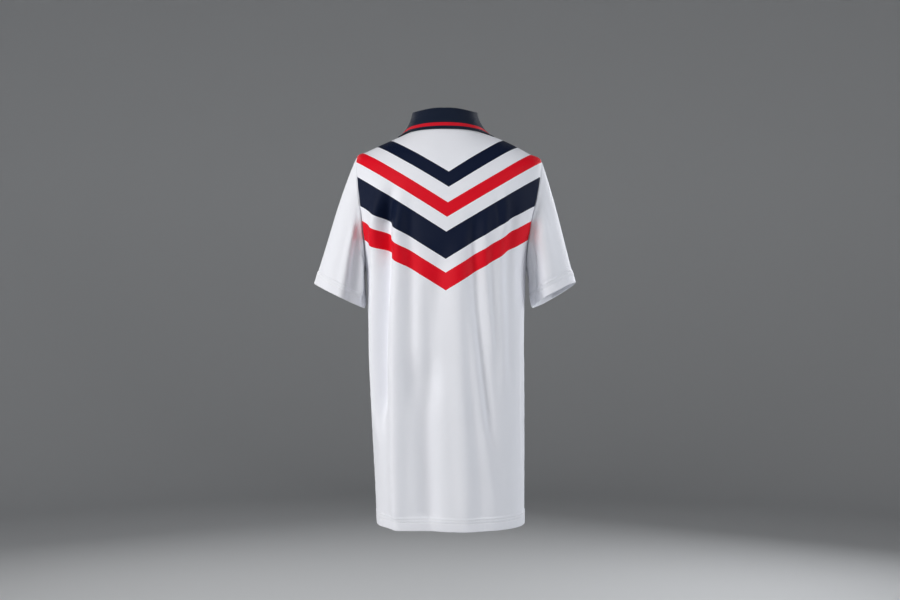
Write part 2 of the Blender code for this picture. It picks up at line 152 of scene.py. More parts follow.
# Smaller creases, in metres: from a to b, with the way across the panel measured from its middle towards
# the wearer's right, and the height above the origin. The crease bows sideways by bow at its middle, and
# lean makes it steeper on one side.
Crease = collections.namedtuple("Crease", "a b bow width height lean")
BODY_CREASES = {
    "back": (
        Crease((-0.036, -0.220), (-0.030, -0.520), -0.003, 0.009, -0.0012, 0.0),
        Crease((0.076, -0.120), (0.099, -0.215), 0.003, 0.0055, -0.0020, 0.3),
        Crease((0.090, -0.105), (0.112, -0.200), 0.003, 0.0060, 0.0018, 0.0),
        Crease((-0.188, -0.100), (-0.182, -0.185), 0.002, 0.0050, -0.0020, 0.0),
        Crease((-0.120, -0.560), (-0.126, -0.790), 0.004, 0.016, 0.0012, 0.0),
        Crease((0.176, -0.300), (0.186, -0.700), 0.003, 0.010, -0.0018, 0.0),
    ),
    "front": (
        Crease((-0.186, -0.130), (-0.170, -0.300), 0.005, 0.007, -0.0028, 0.2),
        Crease((-0.050, -0.230), (-0.044, -0.480), 0.004, 0.009, 0.0012, 0.0),
        Crease((0.112, -0.180), (0.096, -0.330), 0.004, 0.007, -0.0020, 0.0),
        Crease((0.184, -0.120), (0.168, -0.300), -0.004, 0.007, -0.0028, -0.2),
        Crease((-0.150, -0.520), (-0.156, -0.800), 0.003, 0.014, 0.0014, 0.0),
    ),
}
CREASE_FADE = 0.38
# Sleeve creases: the way round the arm from the armpit by the back, and the way down from the armhole.
SLEEVE_CREASES = {
    1: (
        Crease((0.030, 0.000), (0.028, 0.150), 0.003, 0.0045, -0.0024, 0.0),
        Crease((0.016, 0.000), (0.018, 0.090), -0.002, 0.0045, 0.0020, 0.0),
        Crease((0.352, 0.004), (0.346, 0.100), -0.002, 0.006, -0.0026, 0.0),
    ),
    -1: (
        Crease((0.026, 0.006), (0.022, 0.080), 0.003, 0.0045, 0.0020, 0.0),
        Crease((0.040, 0.000), (0.034, 0.070), -0.002, 0.0050, -0.0022, 0.0),
        Crease((0.344, 0.004), (0.340, 0.090), -0.002, 0.006, -0.0026, 0.0),
    ),
}
PANEL_WIDTH = 0.45
SLEEVE_GIRTH = 0.38

# Uneven lie of the cloth: a broad swell, in its own size across and down, and a finer one that is so many
# times smaller across and down, and this share of its height.
SWELL = 0.0011
SWELL_ACROSS = 0.045
SWELL_DOWN = 0.130
FINE_ACROSS = 2.3
FINE_DOWN = 2.0
FINE_START = 7.0
FINE_SHARE = 0.35

# Random values that the noise runs smoothly between.
LATTICE_SIDE = 32
LATTICE = np.random.default_rng(5).uniform(-1.0, 1.0, (LATTICE_SIDE,) * 3)

# Seams: depth and half width of the valley, the roll beside it, and the small puckers along it.
VALLEY_DEPTH = 0.0008
VALLEY_WIDTH = 0.0020
ROLL_HEIGHT = 0.0003
ROLL_PLACE = 0.0050
ROLL_WIDTH = 0.0024
PUCKER_HEIGHT = 0.0005
PUCKER_PITCH = 0.010
PUCKER_REACH = 0.011
SEAM_STEPS = (0.0, 0.0006, 0.0013, 0.0022, 0.0034, 0.0050, 0.0072)

# Hems: turned up by this depth and held by two rows of stitches, each in a shallow groove.
HEM_DEPTH = 0.0230
HEM_STEP = 0.0026
HEM_RISE = 0.0011
HEM_EASE = 0.35
STITCH_ROWS = (0.0145, 0.0200)
GROOVE_DEPTH = 0.00045
GROOVE_WIDTH = 0.0008
HEM_PUCKER = 0.00035
HEM_PUCKER_PITCH = 0.009
HEM_STEPS = (
    (0.0, 0.0008, 0.0020, 0.0045, 0.0085, 0.0115, 0.0130, 0.0138, 0.0145, 0.0152, 0.0160)
    + (0.0175, 0.0186, 0.0193, 0.0200, 0.0207, 0.0216, 0.0228, 0.0236, 0.0244, 0.0252, 0.0260, 0.0285)
)
HEM_FALL_PER_LEVEL = 0.500
STITCH_PITCH = 0.0036
STITCH_LENGTH = 0.0029
STITCH_RADIUS = 0.00030
STITCH_SIDES = 6
STITCH_RINGS = 5
# In radii: a stitch at its ends, the height of its arch, and how deep its ends sink in.
STITCH_TAPER = 0.55
STITCH_ARCH = 1.1
STITCH_SINK = 0.75

# A shell's free edge bulges by this share of its thickness, and turns above this angle stay sharp.
EDGE_BULGE = 0.45
SHARP_TURN = math.radians(60)

# The collar by place, from the middle of the back (0) by the shoulder (0.5) to the V's middle (1): height of
# the stand, reach of the leaf down the panel in levels, how fast the leaf drops on to the cloth, its sweep
# sideways in shares, and how far the stand lies down along the neckline.
Collar = collections.namedtuple("Collar", "place stand reach drop sweep slope")
COLLAR = (
    Collar(0.00, 0.0255, 0.125, 1.5, 0.000, 0.10),
    Collar(0.25, 0.0285, 0.130, 1.5, 0.000, 0.10),
    Collar(0.42, 0.0340, 0.155, 1.5, 0.000, 0.07),
    Collar(0.50, 0.0370, 0.230, 1.8, 0.000, 0.05),
    Collar(0.60, 0.0335, 0.350, 1.8, 0.004, 0.15),
    Collar(0.75, 0.0240, 0.380, 1.6, 0.012, 0.40),
    Collar(1.00, 0.0050, 0.740, 1.5, 0.075, 1.00),
)
CLOTH_WALL = 0.0016
COLLAR_CLEAR = 0.0003
COLLAR_COLUMNS = 120
STAND_LEAN = 0.12
FOLD_RADIUS = 0.0022
LEAF_REST = 0.0010
LEAF_EASE = 1.4
COLLAR_END_SHARE = 0.002
STAND_STEPS = 9
FOLD_STEPS = 8
LEAF_STEPS = 26
LEAF_WAVE = 0.0005
LEAF_WAVE_PITCH = 0.055

# Printed bands of the body: chevrons whose arms rise from the middle by this slope. Each has the height of
# its upper edge at the middle, how deep it is and its colour.
CHEVRON_SLOPE = 0.62
Band = collections.namedtuple("Band", "top depth colour")
NAVY = (0.0, 0.005, 0.026, 1.0)
RED = (0.745, 0.0, 0.013, 1.0)
WHITE = (0.86, 0.87, 0.92, 1.0)
BANDS = (
    Band(-0.086, 0.030, NAVY),
    Band(-0.146, 0.026, RED),
    Band(-0.200, 0.050, NAVY),
    Band(-0.276, 0.034, RED),
)
PRINT_BOTTOM = -0.40
PRINT_SPAN = 0.50

# Collar stripe: its lower edge's distance from the leaf's free edge, and its width.
STRIPE_START = 0.0054
STRIPE_WIDTH = 0.0070
RIB_NAVY = (0.0, 0.006, 0.024, 1.0)
RIB_RED = (0.680, 0.001, 0.016, 1.0)

# Knit and rib: width of a column, height of a row, how steeply the loops slant, how high the rows stand
# beside the columns, and the painted shade that darkens the colour between the columns.
WALE = 0.0011
COURSE = 0.0009
RIB_PITCH = 0.0015
LOOP_SLANT = 1.6
KNIT_ROWS = 0.35
RIB_ROWS = 0.3
KNIT_PAINTED_GROOVE_SHADE = 0.18
RIB_PAINTED_GROOVE_SHADE = 1.2
# Faint patches of the knit's shade, and the thread's: the least, and how much is added to it.
KNIT_SHADE = (0.975, 0.05)
THREAD_SHADE = (0.84, 0.06)

# The photograph's view: 900 x 600 pixels, 1300 pixels of focal length, 1.95 mm a pixel at the neck's axis.
CAMERA_PLACE = (-0.004, 2.535, -0.326)
SENSOR_WIDTH = 36.0
LENS = 52.0

FLOOR_Z = -1.25
STUDIO_RADIUS = 5.2
STUDIO_BEND = 1.6
STUDIO_HEIGHT = 4.0
BEND_STEPS = 12
STUDIO_SEGMENTS = 96
STUDIO_PAINT = (0.64, 0.65, 0.66, 1.0)

# Places of the factor and the two colours among a mix node's inputs, and of the mixed colour in its outputs.
MIX_INPUTS = (0, 6, 7)
MIX_RESULT = 2


def unit(vectors):
    return vectors / np.linalg.norm(vectors, axis=-1, keepdims=True)


def smooth_step(values):
    clipped = np.clip(values, 0.0, 1.0)
    return clipped * clipped * (3.0 - 2.0 * clipped)


def bump(distance, width):
    return np.exp(-((distance / width) ** 2))


def lengths_along(points):
    """Length from the first point to each point of a line, or down each column of a grid."""
    steps = np.linalg.norm(np.diff(points, axis=0), axis=-1)
    return np.concatenate([np.zeros_like(steps[:1]), np.cumsum(steps, axis=0)])


def smooth_through(knots, values, at):
    """A smooth curve through the knots: cubic, with each slope taken from the neighbouring knots."""
    knots = np.asarray(knots)
    values = np.asarray(values)
    slopes = np.gradient(values, knots)
    left = np.clip(np.searchsorted(knots, at, side="right") - 1, 0, len(knots) - 2)
    step = knots[left + 1] - knots[left]
    u = (at - knots[left]) / step
    start = (1 + 2 * u) * (1 - u) ** 2 * values[left] + u * (1 - u) ** 2 * step * slopes[left]
    end = u * u * (3 - 2 * u) * values[left + 1] + u * u * (u - 1) * step * slopes[left + 1]
    return start + end


def read_table(table, column, at):
    rows = [row[0] for row in table]
    return smooth_through(rows, [getattr(row, column) for row in table], at)


# ---- the jersey's form


def armhole_turn(side, level):
    """Angle that the armhole takes off each end of a row."""
    if not SHOULDER_LEVEL < level < ARMPIT_LEVEL:
        return 0.0
    depth = math.sin(math.pi * (level - SHOULDER_LEVEL) / (ARMPIT_LEVEL - SHOULDER_LEVEL))
    return ARMHOLE_TURN[side] * depth**ARMHOLE_ROUNDNESS


def section_points(side, level, turn):
    """Points of a body section at angles from the wearer's left (0) to the right (pi)."""
    centre, half, depth, side_z, middle_z, tilt, square = (
        read_table(SECTIONS, column, level)
        for column in ("centre", "half", side, "side_z", side + "_z", "tilt", "square")
    )
    across = np.cos(turn)
    away = np.clip(np.sin(turn), 0.0, 1.0)
    x_share = np.sign(across) * np.abs(across) ** (2 / square)
    fall = away**ROW_FALL
    bow = away ** (2 / square)
    if side == "front":
        neckline = 1.0 - smooth_step(level / NECKLINE_SLOPE_ENDS)
        fall = fall + neckline * (1.0 - np.abs(x_share) - fall)
        bow = bow / (1.0 + np.abs(x_share)) ** (NECKLINE_BOW * neckline)
    y = depth * bow * (1 if side == "back" else -1)
    z = side_z + (middle_z - side_z) * fall + tilt * x_share
    return np.stack([centre + half * x_share, y, z], axis=-1)


def panel_points(side, level, shares):
    """Points of one row of a body panel at shares of its length."""
    cut = armhole_turn(side, level)
    turns = np.linspace(cut, math.pi - cut, ROW_SAMPLES)
    lengths = lengths_along(section_points(side, level, turns))
    return section_points(side, level, np.interp(np.asarray(shares) * lengths[-1], lengths, turns))


def armhole_cut(side, level):
    """Share of a whole row's length that the armhole takes off each end."""
    turns = np.linspace(0.0, math.pi, ROW_SAMPLES)
    lengths = lengths_along(section_points(side, level, turns))
    return np.interp(armhole_turn(side, level), turns, lengths) / lengths[-1]


def panel_levels():
    """Levels of the rows, closer together at both ends of the armhole and in the hem."""
    above = np.linspace(0.0, SHOULDER_LEVEL, NECK_ROWS + 1)
    even = np.linspace(0.0, 1.0, ARM_ROWS + 1)
    beside = SHOULDER_LEVEL + even / 2 + (1 - np.cos(math.pi * even)) / 4
    hem = HEM_LEVEL - np.array(HEM_STEPS[::-1]) / HEM_FALL_PER_LEVEL
    below = np.linspace(ARMPIT_LEVEL, hem[0], SIDE_ROWS + 1)
    return np.concatenate([above, beside[1:], below[1:], hem[1:]])


def panel_shares():
    """Shares of the columns, closer together beside both seams."""
    steps = np.array(SEAM_STEPS) / PANEL_WIDTH
    middle = np.linspace(steps[-1], 1 - steps[-1], COLUMNS + 1)
    return np.concatenate([steps[:-1], middle, 1 - steps[-2::-1]])


def armhole_loop(back, front, column):
    """The armhole's edge, from the armpit up the back to the shoulder point and down the front."""
    rows = slice(NECK_ROWS, NECK_ROWS + ARM_ROWS + 1)
    return np.concatenate([back[rows, column][::-1], front[rows, column][1:-1]])


def loop_shares(loop):
    """Share of each point round the arm: 0 armpit, 0.25 back, 0.5 shoulder, 0.75 front."""
    back_lengths = lengths_along(loop[: ARM_ROWS + 1])
    front_lengths = lengths_along(np.concatenate([loop[ARM_ROWS:], loop[:1]]))
    back_shares = 0.5 * back_lengths / back_lengths[-1]
    front_shares = 0.5 + 0.5 * front_lengths / front_lengths[-1]
    return np.concatenate([back_shares, front_shares[1:-1]])


def sleeve_curves(cuff, loop, down):
    """Points of a sleeve at shares down each column's cubic curve from the armhole to the cuff."""
    turn = 2 * math.pi * loop_shares(loop)
    outward = np.array([cuff.side * math.cos(cuff.tilt), 0.0, math.sin(cuff.tilt)])
    centre = np.array([cuff.x, cuff.y, cuff.z])
    end = centre - np.cos(turn)[:, None] * cuff.half * outward
    end += np.sin(turn)[:, None] * np.array([0.0, cuff.depth, cuff.rise])
    top = unit(np.array([cuff.side * cuff.top_slope, 0.0, -1.0]))
    armpit = unit(np.array([cuff.side * cuff.armpit_slope, 0.0, -1.0]))
    upper = (0.5 - 0.5 * np.cos(turn))[:, None]
    reach = np.linalg.norm(end - loop, axis=1)[:, None]
    leave = reach * unit(top * upper + armpit * (1 - upper))
    arrive = reach * unit(np.array([cuff.side * cuff.end_slope, 0.0, -1.0]))
    v = down[..., None]
    start = (1 + 2 * v) * (1 - v) ** 2 * loop + v * (1 - v) ** 2 * leave
    return start + v * v * (3 - 2 * v) * end + v * v * (v - 1) * arrive


def sleeve_down(cuff, loop):
    """Shares of the rows down each column: close together beside the armhole and in the hem."""
    samples = np.linspace(0.0, 1.0, SLEEVE_SAMPLES + 1)[:, None] + np.zeros(len(loop))
    steps = np.linalg.norm(np.diff(sleeve_curves(cuff, loop, samples), axis=0), axis=2)
    rates = steps * SLEEVE_SAMPLES
    head = np.array(SEAM_STEPS)[:, None] / rates[0]
    hem = 1 - np.array(HEM_STEPS[::-1])[:, None] / rates[-1]
    even = np.linspace(0.0, 1.0, SLEEVE_ROWS + 1)[1:-1, None]
    return np.concatenate([head, head[-1] + (hem[0] - head[-1]) * even, hem])


# A piece of cloth: its grid of points, which way it faces, whether its last column joins its first, each
# point's way across and down in metres, its distance from the nearest seam and from its hem, and the place
# of its print.
Skin = collections.namedtuple("Skin", "points facing ring across down seam hem print")


def panel_skin(side):
    shares = panel_shares()
    levels = panel_levels()
    points = np.array([panel_points(side, level, shares) for level in levels])
    row_lengths = np.linalg.norm(np.diff(points, axis=1), axis=2).sum(axis=1)
    seam = np.minimum(shares, 1 - shares) * row_lengths[:, None]
    hem = (HEM_LEVEL - levels)[:, None] * HEM_FALL_PER_LEVEL + np.zeros(len(shares))
    across = (shares - 0.5) * PANEL_WIDTH + np.zeros((len(levels), 1))
    middle = read_table(SECTIONS, "centre", levels)[:, None]
    print_place = np.stack([points[..., 0] - middle, points[..., 2]], axis=-1)
    facing = -1 if side == "back" else 1
    return Skin(points, facing, False, across, lengths_along(points), seam, hem, print_place)


def sleeve_skin(cuff, loop):
    down = sleeve_down(cuff, loop)
    points = sleeve_curves(cuff, loop, down)
    around = loop_shares(loop)
    length = lengths_along(points)
    hem = length[-1] - length
    under = np.minimum(around, 1 - around) * SLEEVE_GIRTH
    seam = np.minimum(length, under)
    across = around * SLEEVE_GIRTH + 0 * length
    return Skin(points, cuff.side, True, across, length, seam, hem, np.zeros(points.shape[:2] + (2,)))


def sleeve_name(cuff):
    return "sleeve_left" if cuff.side > 0 else "sleeve_right"


def outward_normals(points, facing, ring):
    """Normals of a grid of points; a ring's last column joins its first."""
    if ring:
        across = np.roll(points, -1, axis=1) - np.roll(points, 1, axis=1)
    else:
        across = np.gradient(points, axis=1)
    return unit(facing * np.cross(across, np.gradient(points, axis=0)))


def joined_normals(skins):
    """Normals shared at the seams, wherever the cloth runs smoothly from one piece to the next."""
    own = {name: outward_normals(skin.points, skin.facing, skin.ring) for name, skin in skins.items()}
    meeting = collections.defaultdict(list)
    borders = {}
    for name, skin in skins.items():
        on_border = np.zeros(skin.points.shape[:2], bool)
        on_border[0] = True
        if not skin.ring:
            on_border[:, [0, -1]] = True
        borders[name] = on_border
        for place, normal in zip(skin.points[on_border], own[name][on_border]):
            meeting[tuple(np.round(place, 6))].append(normal)
    for name, skin in skins.items():
        shared = []
        for place, normal in zip(skin.points[borders[name]], own[name][borders[name]]):
            others = np.array(meeting[tuple(np.round(place, 6))])
            agreement = np.clip(2 * others @ normal, 0.0, 1.0)
            shared.append((others * agreement[:, None]).sum(axis=0))
        own[name][borders[name]] = unit(np.array(shared))
    return own


# ---- folds, creases and hems


def fold_share(fold, along):
    """A fold's share across the panel: a parabola through its three shares."""
    ends = (1 - along) * fold.share_start + along * fold.share_end
    middle = (fold.share_start + fold.share_end) / 2
    return ends + 4 * along * (1 - along) * (fold.share_middle - middle)


def fold_heights(folds, down, shares, ring, fade):
    """Height of the large folds at each point of a grid, where down is the measure that they run along."""
    total = np.zeros(down.shape)
    for fold in folds:
        length = abs(fold.end - fold.start)
        along = np.clip((down - fold.start) / (fold.end - fold.start), 0.0, 1.0)
        strength = smooth_step(along * length / fade) * smooth_step((1 - along) * length / fade)
        offset = shares - fold_share(fold, along)
        if ring:
            offset = (offset + 0.5) % 1.0 - 0.5
        total += fold.height * strength * bump(offset, fold.width)
    return total


def crease_heights(creases, across, down):
    """Height of the small creases at each point, from its ways across and down."""
    total = np.zeros(down.shape)
    for crease in creases:
        start = np.array(crease.a)
        run = np.array(crease.b) - start
        length = np.linalg.norm(run)
        ahead = run / length
        along = ((across - start[0]) * ahead[0] + (down - start[1]) * ahead[1]) / length
        offset = (down - start[1]) * ahead[0] - (across - start[0]) * ahead[1]
        inside = np.clip(along, 0.0, 1.0)
        offset -= 4 * crease.bow * inside * (1 - inside)
        strength = smooth_step(along / CREASE_FADE) * smooth_step((1 - along) / CREASE_FADE)
        width = crease.width * (1 + crease.lean * np.sign(offset))
        total += crease.height * strength * bump(offset, width)
    return total


def noise_at(first, second, third):
    """Smooth noise between -1 and 1 at each point of three arrays, from random values a unit apart."""
    places = np.stack(np.broadcast_arrays(first, second, third), axis=-1)
    cells = np.floor(places).astype(int)
    within = smooth_step(places - cells)
    total = np.zeros(places.shape[:-1])
    for corner in itertools.product((0, 1), repeat=3):
        share = np.where(corner, within, 1 - within).prod(axis=-1)
        total += share * LATTICE[tuple(np.moveaxis((cells + corner) % LATTICE_SIDE, -1, 0))]
    return total


def swell(points):
    """Uneven lie of the cloth, the same on both sides of a seam."""
    x, y, z = (points[..., axis] for axis in range(3))
    broad = noise_at(x / SWELL_ACROSS, y / SWELL_ACROSS, z / SWELL_DOWN)
    fine_x = FINE_START + FINE_ACROSS * x / SWELL_ACROSS
    fine = noise_at(fine_x, FINE_ACROSS * y / SWELL_ACROSS, FINE_DOWN * z / SWELL_DOWN)
    return SWELL * (broad + FINE_SHARE * fine)


def hem_hold(skin):
    """The turned-up hem is stiffer than the single cloth, so its folds are a little flatter."""
    return 1 - HEM_EASE * (1 - smooth_step((skin.hem - HEM_DEPTH / 2) / HEM_DEPTH))


def folded_skins(skins):
    """The grids with their folds and creases raised from them."""
    normals = joined_normals(skins)
    folded = {}
    for side in ("back", "front"):
        skin = skins[side]
        shares = skin.across / PANEL_WIDTH + 0.5
        cuts = np.array([armhole_cut(side, level) for level in panel_levels()])[:, None]
        whole = cuts + shares * (1 - 2 * cuts)
        z = skin.points[..., 2]
        heights = fold_heights(BODY_FOLDS[side], z, whole, False, FOLD_FADE)
        heights += crease_heights(BODY_CREASES[side], (whole - 0.5) * PANEL_WIDTH, z)
        heights *= smooth_step(np.minimum(shares, 1 - shares) / SEAM_FADE) * hem_hold(skin)
        heights += swell(skin.points)
        folded[side] = skin._replace(points=skin.points + heights[..., None] * normals[side])
    for cuff in CUFFS:
        name = sleeve_name(cuff)
        skin = skins[name]
        around = skin.across / SLEEVE_GIRTH
        way_down = skin.down / skin.down[-1]
        heights = fold_heights(SLEEVE_FOLDS[cuff.side], way_down, around, True, SLEEVE_FOLD_FADE)
        heights += crease_heights(SLEEVE_CREASES[cuff.side], skin.across, skin.down)
        heights *= hem_hold(skin)
        heights += swell(skin.points)
        folded[name] = skin._replace(points=skin.points + heights[..., None] * normals[name])
    return folded


def sewn_heights(skin):
    """Relief of the seams and the hem: valleys, rolls, puckers, the turned-up edge and its stitch grooves."""
    heights = ROLL_HEIGHT * bump(skin.seam - ROLL_PLACE, ROLL_WIDTH)
    heights -= VALLEY_DEPTH * bump(skin.seam, VALLEY_WIDTH)
    puckers = noise_at(*np.moveaxis(skin.points / PUCKER_PITCH, -1, 0))
    heights += PUCKER_HEIGHT * puckers * bump(skin.seam, PUCKER_REACH)
    heights += HEM_RISE * (1 - smooth_step((skin.hem - HEM_DEPTH) / HEM_STEP))
    for row in STITCH_ROWS:
        heights -= GROOVE_DEPTH * bump(skin.hem - row, GROOVE_WIDTH)
    along = skin.across / HEM_PUCKER_PITCH
    waves = noise_at(along, skin.hem / HEM_DEPTH, 0 * along + skin.facing)
    return heights + HEM_PUCKER * waves * bump(skin.hem - STITCH_ROWS[0], HEM_DEPTH / 2)


def cloth_thickness(skin):
    return KNIT + (HEM_KNIT - KNIT) * (1 - smooth_step((skin.hem - HEM_DEPTH) / HEM_STEP))


def seam_retreat(border, normals, facing, ring):
    """Half a seam gap into the piece, square to the border's segments on both sides of each point."""
    if ring:
        border = np.concatenate([border, border[:1]])
        normals = np.concatenate([normals, normals[:1]])
    along = unit(border[1:] - border[:-1])
    square = unit(facing * np.cross(unit(normals[1:] + normals[:-1]), along))
    if ring:
        before = np.roll(square, 1, axis=0)
        after = square
    else:
        before = np.concatenate([square[:1], square])
        after = np.concatenate([square, square[-1:]])
    turn = (before * after).sum(axis=1, keepdims=True)
    return SEAM_GAP / 2 * (before + after) / (1 + turn)


def shell_faces(skin, normals):
    """Outer and inner points of a piece of cloth."""
    outer = skin.points.copy()
    if skin.ring:
        around = (skin.across / SLEEVE_GIRTH + 0.5) % 1.0 - 0.5
        outer[0] += seam_retreat(skin.points[0], normals[0], skin.facing, True)
        outer[..., 0] += skin.facing * ARMPIT_GAP * bump(around, ARMPIT_SPREAD)
    else:
        outer[:, 0] += seam_retreat(skin.points[:, 0], normals[:, 0], -skin.facing, False)
        outer[:, -1] += seam_retreat(skin.points[:, -1], normals[:, -1], skin.facing, False)
    outer += sewn_heights(skin)[..., None] * normals
    return outer, outer - cloth_thickness(skin)[..., None] * normals


# ---- meshes


def add_object(name, data):
    made = bpy.data.objects.new(name, data)
    bpy.context.scene.collection.objects.link(made)
    return made


def strip(first, second):
    """Quads between two rows of numbers."""
    return np.stack([first[:-1], first[1:], second[1:], second[:-1]], axis=-1)


def first_again(grid, ring, onward=0):
    """The grid, and where it is a ring its first column once more, moved onward."""
    return np.concatenate([grid, grid[:, :1] + onward], axis=1) if ring else grid


def tube(numbers):
    """Quads between rings of numbers, one ring a row."""
    rows = first_again(numbers, True)
    return np.concatenate([strip(*pair) for pair in zip(rows, rows[1:])]).tolist()


def closed_shell(name, outer, inner, facing, ring, maps, finishes):
    """A closed shell between two grids of points, with a rounded free edge along its last row.

    maps has a grid of places for each UV map, and finishes the outer and the inner material."""
    rows, columns = outer.shape[:2]
    wall = np.linalg.norm(outer[-1] - inner[-1], axis=1)[:, None]
    edge = (outer[-1] + inner[-1]) / 2 + unit(outer[-1] - outer[-2]) * wall * EDGE_BULGE
    points = np.concatenate([outer, inner, [edge]])
    vertices = first_again(np.arange(len(points) * columns).reshape(-1, columns), ring)
    corners = np.arange(vertices.size).reshape(vertices.shape)
    out, inn, mid = corners[:rows], corners[rows:-1], corners[-1]
    sides = [strip(out[i], out[i + 1]) for i in range(rows - 1)]
    insides = [strip(inn[i + 1], inn[i]) for i in range(rows - 1)]
    rims = [strip(inn[0], out[0]), strip(out[-1], mid), strip(mid, inn[-1])]
    ends = []
    if not ring:
        rims += [strip(out[:, 0], inn[:, 0]), strip(inn[:, -1], out[:, -1])]
        ends = [[out[-1, 0], mid[0], inn[-1, 0]], [out[-1, -1], inn[-1, -1], mid[-1]]]
    faces = [np.array(face)[::facing] for face in [*np.concatenate(sides + insides + rims), *ends]]
    data = bpy.data.meshes.new(name)
    data.from_pydata(points.reshape(-1, 3).tolist(), [], [vertices.ravel()[face].tolist() for face in faces])
    order = np.concatenate(faces)
    for map_name, places in maps.items():
        spread = first_again(np.concatenate([places, places, places[-1:]]), ring, (SLEEVE_GIRTH, 0.0))
        flat = spread.reshape(-1, 2)[order].astype(np.float32)
        data.uv_layers.new(name=map_name).data.foreach_set("uv", flat.ravel())
    for finish in finishes:
        data.materials.append(finish)
    inner_from = len(sides) * sides[0].shape[0]
    slots = np.zeros(len(data.polygons), np.int32)
    slots[inner_from : 2 * inner_from] = len(finishes) - 1
    data.polygons.foreach_set("material_index", slots)
    data.shade_smooth()
    data.set_sharp_from_angle(angle=SHARP_TURN)
    return add_object(name, data)


# ---- stitches


def points_at(places, lengths, line):
    """Points of a line at some lengths along it."""
    return np.stack([np.interp(places, lengths, line[:, axis]) for axis in range(3)], axis=-1)


def stitches(name, rows, normals, ring, finish):
    """Short threads along rows of points, each rising from the cloth and sinking back into it."""
    points = []
    faces = []
    for line, outward in zip(rows, normals):
        if ring:
            line = np.concatenate([line, line[:1]])
            outward = np.concatenate([outward, outward[:1]])
        lengths = lengths_along(line)
        count = int(lengths[-1] / STITCH_PITCH)
        starts = (np.arange(count) + 0.5) * lengths[-1] / count - STITCH_LENGTH / 2
        for start in starts:
            places = start + STITCH_LENGTH * np.linspace(0.0, 1.0, STITCH_RINGS)
            away = unit(points_at(places, lengths, outward))
            add_thread(points, faces, points_at(places, lengths, line), away)
    data = bpy.data.meshes.new(name)
    data.from_pydata(points, [], faces)
    data.materials.append(finish)
    data.shade_smooth()
    return add_object(name, data)


def add_thread(points, faces, centre, away):
    """One stitch: a tapered tube along its centre line, closed at both ends."""
    along = unit(centre[-1] - centre[0])
    first = len(points)
    for ring, (place, up) in enumerate(zip(centre, away)):
        share = ring / (STITCH_RINGS - 1)
        arch = math.sin(math.pi * share)
        radius = STITCH_RADIUS * (STITCH_TAPER + (1 - STITCH_TAPER) * arch)
        middle = place + up * STITCH_RADIUS * (STITCH_ARCH * arch - STITCH_SINK)
        side = np.cross(along, up)
        for k in range(STITCH_SIDES):
            turn = 2 * math.pi * k / STITCH_SIDES
            points.append(tuple(middle + radius * (math.cos(turn) * side + math.sin(turn) * up)))
    rings = np.arange(first, len(points)).reshape(STITCH_RINGS, STITCH_SIDES)
    faces.extend([*tube(rings), rings[0, ::-1].tolist(), rings[-1].tolist()])


# ---- collar


def collar_stations():
    """Panel, share and place of each station, from the V's left side round the neck to its right side."""
    half = COLLAR_COLUMNS // 2
    shares = np.linspace(0.0, 1.0, COLLAR_COLUMNS + 1)
    first = shares[half::-1].copy()
    first[0] -= COLLAR_END_SHARE
    last = shares[: half - 1 : -1].copy()
    last[-1] += COLLAR_END_SHARE
    stations = [("front", share, 0.5 + share) for share in first]
    stations += [("back", share, abs(2 * share - 1) / 2) for share in shares[1:-1]]
    stations += [("front", share, 1.5 - share) for share in last]
    return stations


def panel_frame(side, level, share):
    """A panel's point, its outward normal, its direction down the column and that along the row."""
    small = 1e-3
    here = panel_points(side, level, [share - small, share, share + small])
    below = panel_points(side, level + small, [share])[0]
    down = unit(below - here[1])
    along = unit(here[2] - here[0])
    facing = -1 if side == "back" else 1
    return here[1], unit(facing * np.cross(along, down)), down, along


def collar_profile(side, share, place):
    """The collar's middle line at one station: up the stand, over the fold and down the leaf."""
    stand, reach, drop, sweep, slope = (
        read_table(COLLAR, column, place) for column in ("stand", "reach", "drop", "sweep", "slope")
    )
    neckline, normal, down, along = panel_frame(side, 0.0, share)
    lean = -STAND_LEAN / SECTIONS[0].half * neckline * np.array([1.0, 1.0, 0.0])
    middle_down = panel_frame("front", 0.0, 0.5)[2]
    up = unit((1 - slope) * (np.array([0.0, 0.0, 1.0]) + lean) - slope * middle_down)
    over = unit(normal - (normal @ up) * up)
    through_wall = unit(np.cross(along, up))
    past_edge = unit(np.cross(along, normal))
    clear = COLLAR_CLEAR + RIB / 2 * abs(through_wall @ past_edge)
    clear /= np.linalg.norm(np.cross(down, along))
    base = neckline - normal * CLOTH_WALL / 2 - down * clear
    line = [base + up * stand * step / STAND_STEPS for step in range(STAND_STEPS + 1)]
    top = line[-1]
    for step in range(1, FOLD_STEPS + 1):
        turn = math.pi * step / FOLD_STEPS
        line.append(top + FOLD_RADIUS * (math.sin(turn) * up + (1 - math.cos(turn)) * over))
    rest = LEAF_REST + RIB / 2
    rise = line[-1] - neckline - normal * rest
    sideways = -sweep if share < 0.5 else sweep
    for step in range(1, LEAF_STEPS + 1):
        w = step / LEAF_STEPS
        eased = w**LEAF_EASE
        point, outward, *_ = panel_frame(side, reach * eased, share + sideways * eased)
        line.append(point + outward * rest + (1 - w) ** drop * rise)
    return line


